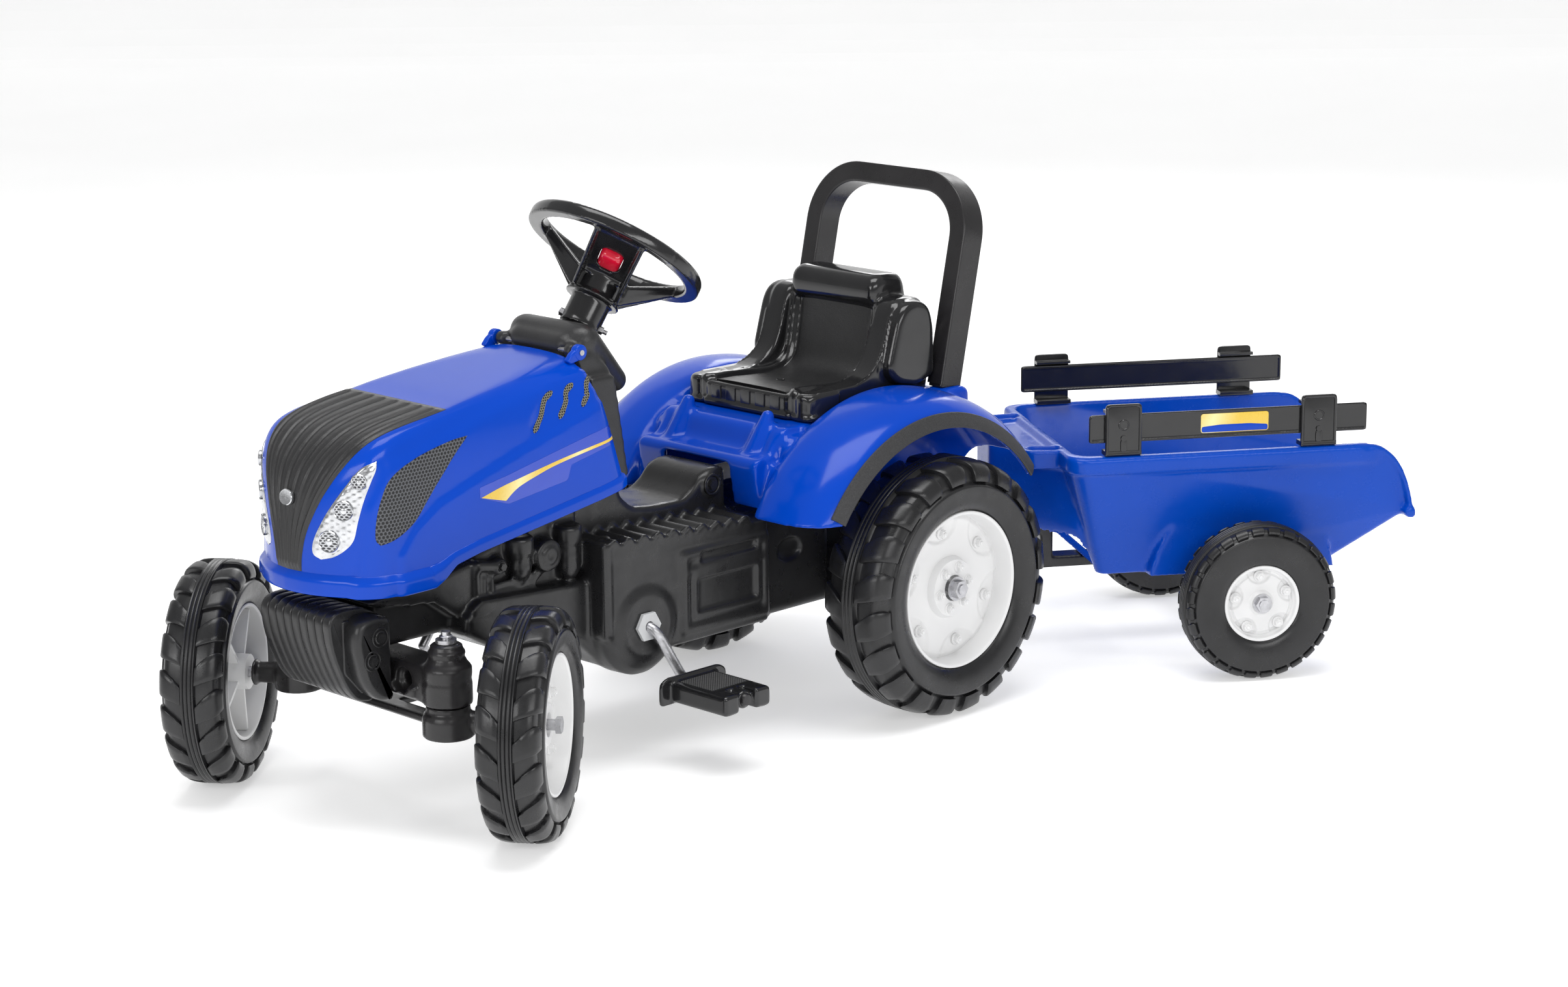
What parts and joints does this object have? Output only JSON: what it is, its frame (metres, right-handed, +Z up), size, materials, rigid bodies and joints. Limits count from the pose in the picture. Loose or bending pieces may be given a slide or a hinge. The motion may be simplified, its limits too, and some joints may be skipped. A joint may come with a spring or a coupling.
{
  "type": "pedal tractor with trailer",
  "caption": "Child's ride-on pedal tractor with chain drive, linked steering, opening hood and roll hoop, pulling a hinged trailer with side boards.",
  "frame": {"origin": "on the ground under the middle of the bounding box of the whole outfit in its stored pose", "axes": "+X to the front of the tractor, +Y to the rider's left, +Z up"},
  "size_m": [1.5694, 0.7695, 0.6189],
  "materials": {
    "blue_gloss": "glossy moulded",
    "blue_satin": "satin moulded",
    "black_gloss": "glossy moulded",
    "black_satin": "satin moulded",
    "charcoal_grain": "grained",
    "tyre_black": "hollow moulded tyre, semi-gloss",
    "rim_white": "satin moulded",
    "steel_zinc": "zinc plated",
    "bush_white": "natural nylon",
    "horn_red": "glossy",
    "lamp_clear": "printed lamp, clear gloss"
  },
  "bodies": {
    "chassis": {"chassis": "charcoal_grain", "weight_block": "charcoal_grain", "front_axle": "black_satin", "kingpins": "steel_zinc", "kingpin_clips": "steel_zinc", "dash_cowl": "black_satin", "rear_body": "blue_gloss", "fender_trim_left": "charcoal_grain", "fender_trim_right": "charcoal_grain", "seat": "black_gloss", "roll_hoop": "black_satin", "crank_bushes": "bush_white", "axle_bushes": "bush_white", "chain": "steel_zinc", "hitch_tongue": "steel_zinc", "steering_bush": "black_satin", "hood_hinge_pin": "steel_zinc"},
    "hood": {"hood": "blue_gloss", "grille_panel": "charcoal_grain", "headlamp_left": "lamp_clear", "headlamp_right": "lamp_clear", "side_grille_left": "black_satin", "side_grille_right": "black_satin"},
    "steering": {"steering_wheel": "black_gloss", "steering_shaft": "steel_zinc", "column_bolt": "steel_zinc"},
    "horn": {"horn_button": "horn_red"},
    "knuckle_left": {"knuckle_left": "black_satin", "stub_axle_left": "steel_zinc"},
    "knuckle_right": {"knuckle_right": "black_satin", "stub_axle_right": "steel_zinc"},
    "tie_rod": {"tie_rod": "black_satin"},
    "front_wheel_left": {"front_tyre_left": "tyre_black", "front_rim_left": "rim_white"},
    "front_wheel_right": {"front_tyre_right": "tyre_black", "front_rim_right": "rim_white"},
    "crank": {"crankshaft": "steel_zinc", "chainwheel": "steel_zinc"},
    "pedal_left": {"pedal_left": "black_gloss"},
    "pedal_right": {"pedal_right": "black_gloss"},
    "rear_axle": {"rear_axle": "steel_zinc", "rear_sprocket": "steel_zinc", "rear_nuts": "steel_zinc", "rear_tyre_left": "tyre_black", "rear_rim_left": "rim_white"},
    "rear_wheel_right": {"rear_tyre_right": "tyre_black", "rear_rim_right": "rim_white"},
    "trailer": {"trailer_tub": "blue_satin", "drawbar": "black_satin", "trailer_axle": "steel_zinc", "trailer_nuts": "steel_zinc", "side_board_left": "black_gloss", "side_board_right": "black_gloss", "board_brackets": "black_gloss"},
    "trailer_wheel_left": {"trailer_tyre_left": "tyre_black", "trailer_rim_left": "rim_white"},
    "trailer_wheel_right": {"trailer_tyre_right": "tyre_black", "trailer_rim_right": "rim_white"},
    "hitch_pin": {"hitch_pin": "steel_zinc"}
  },
  "joints": [
    {"name": "steering", "type": "hinge", "parent": "chassis", "child": "steering", "pos_m": [0.2602, -0.09433, 0.5537], "axis": [-0.5948, 0, 0.8039], "range_deg": [-76.5, 3.5]},
    {"name": "horn_press", "type": "slide", "parent": "steering", "child": "horn", "axis": [0.7073, 0.1798, -0.6837], "range_m": [0, 0.002], "stiffness_N_per_m": 400, "springref_m": -0.0005},
    {"name": "knuckle_left_turn", "type": "hinge", "parent": "chassis", "child": "knuckle_left", "pos_m": [0.6196, 0.03148, 0.122], "axis": [0, 0, 1], "range_deg": [-77, 4]},
    {"name": "knuckle_right_turn", "type": "hinge", "parent": "chassis", "child": "knuckle_right", "pos_m": [0.6196, -0.22012, 0.122], "axis": [0, 0, 1], "range_deg": [-77, 4]},
    {"name": "tie_rod_pivot", "type": "hinge", "parent": "knuckle_left", "child": "tie_rod", "pos_m": [0.5794, 0.00173, 0.1], "axis": [0, 0, 1], "range_deg": [-4, 77]},
    {"name": "front_wheel_left_spin", "type": "hinge", "parent": "knuckle_left", "child": "front_wheel_left", "pos_m": [0.56802, 0.10117, 0.122], "axis": [-0.5948, 0.8039, 0], "continuous": true},
    {"name": "front_wheel_right_spin", "type": "hinge", "parent": "knuckle_right", "child": "front_wheel_right", "pos_m": [0.67117, -0.28982, 0.122], "axis": [-0.5948, 0.8039, 0], "continuous": true},
    {"name": "rear_axle_spin", "type": "hinge", "parent": "chassis", "child": "rear_axle", "pos_m": [-0.0494, -0.09433, 0.15], "axis": [0, 1, 0], "continuous": true},
    {"name": "crank_spin", "type": "hinge", "parent": "chassis", "child": "crank", "pos_m": [0.3156, -0.09433, 0.156], "axis": [0, 1, 0], "continuous": true},
    {"name": "pedal_left_spin", "type": "hinge", "parent": "crank", "child": "pedal_left", "pos_m": [0.27055, 0.07068, 0.08392], "axis": [0, 1, 0], "continuous": true},
    {"name": "pedal_right_spin", "type": "hinge", "parent": "crank", "child": "pedal_right", "pos_m": [0.36064, -0.25933, 0.22808], "axis": [0, 1, 0], "continuous": true},
    {"name": "rear_wheel_right_spin", "type": "hinge", "parent": "chassis", "child": "rear_wheel_right", "pos_m": [-0.0494, -0.29032, 0.15], "axis": [0, 1, 0], "continuous": true},
    {"name": "hood_hinge", "type": "hinge", "parent": "chassis", "child": "hood", "pos_m": [0.3786, -0.09433, 0.466], "axis": [0, -1, 0], "range_deg": [0, 45]},
    {"name": "trailer_turn", "type": "hinge", "parent": "chassis", "child": "trailer", "pos_m": [-0.18981, -0.09433, 0.154], "axis": [0, 0, 1], "range_deg": [-11, 79]},
    {"name": "trailer_wheel_left_spin", "type": "hinge", "parent": "trailer", "child": "trailer_wheel_left", "pos_m": [-0.41151, 0.28801, 0.094], "axis": [0.5592, 0.829, 0], "continuous": true},
    {"name": "trailer_wheel_right_spin", "type": "hinge", "parent": "trailer", "child": "trailer_wheel_right", "pos_m": [-0.62735, -0.032, 0.094], "axis": [0.5592, 0.829, 0], "continuous": true},
    {"name": "hitch_pin_lift", "type": "slide", "parent": "chassis", "child": "hitch_pin", "axis": [0, 0, 1], "range_m": [0, 0.06]}
  ],
  "couplings": [
    {"joint": "knuckle_left_turn", "follows": "steering", "ratio": 1},
    {"joint": "knuckle_right_turn", "follows": "steering", "ratio": 1},
    {"joint": "tie_rod_pivot", "follows": "steering", "ratio": -1},
    {"joint": "crank_spin", "follows": "rear_axle_spin", "ratio": 0.5}
  ]
}
